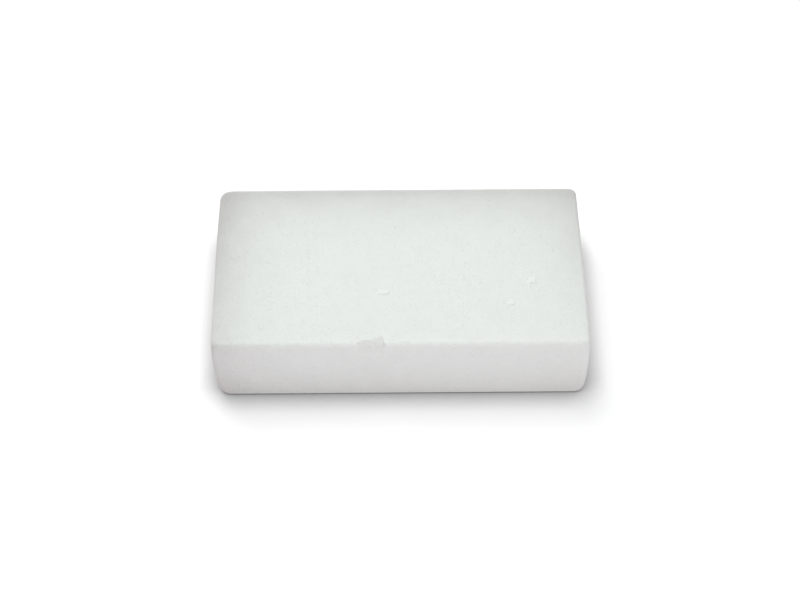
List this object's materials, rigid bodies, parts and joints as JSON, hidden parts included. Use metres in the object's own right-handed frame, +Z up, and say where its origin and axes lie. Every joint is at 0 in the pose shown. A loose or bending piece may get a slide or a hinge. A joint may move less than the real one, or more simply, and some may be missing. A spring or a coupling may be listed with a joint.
{
  "type": "cleaning sponge",
  "caption": "Plain white block of open-cell cleaning foam with softened edges, a torn chip in its front top edge and three small flecks of foam standing up on its top.",
  "frame": {"origin": "middle of the flat underside", "axes": "+X along the block's length to the right-hand end, +Z up through its thickness, -Y towards the face with the torn chip"},
  "size_m": [0.1, 0.06, 0.0205],
  "materials": {
    "foam": "matte, fine open-cell foam, off-white"
  },
  "bodies": {
    "root": {"foam_block": "foam"}
  },
  "joints": []
}
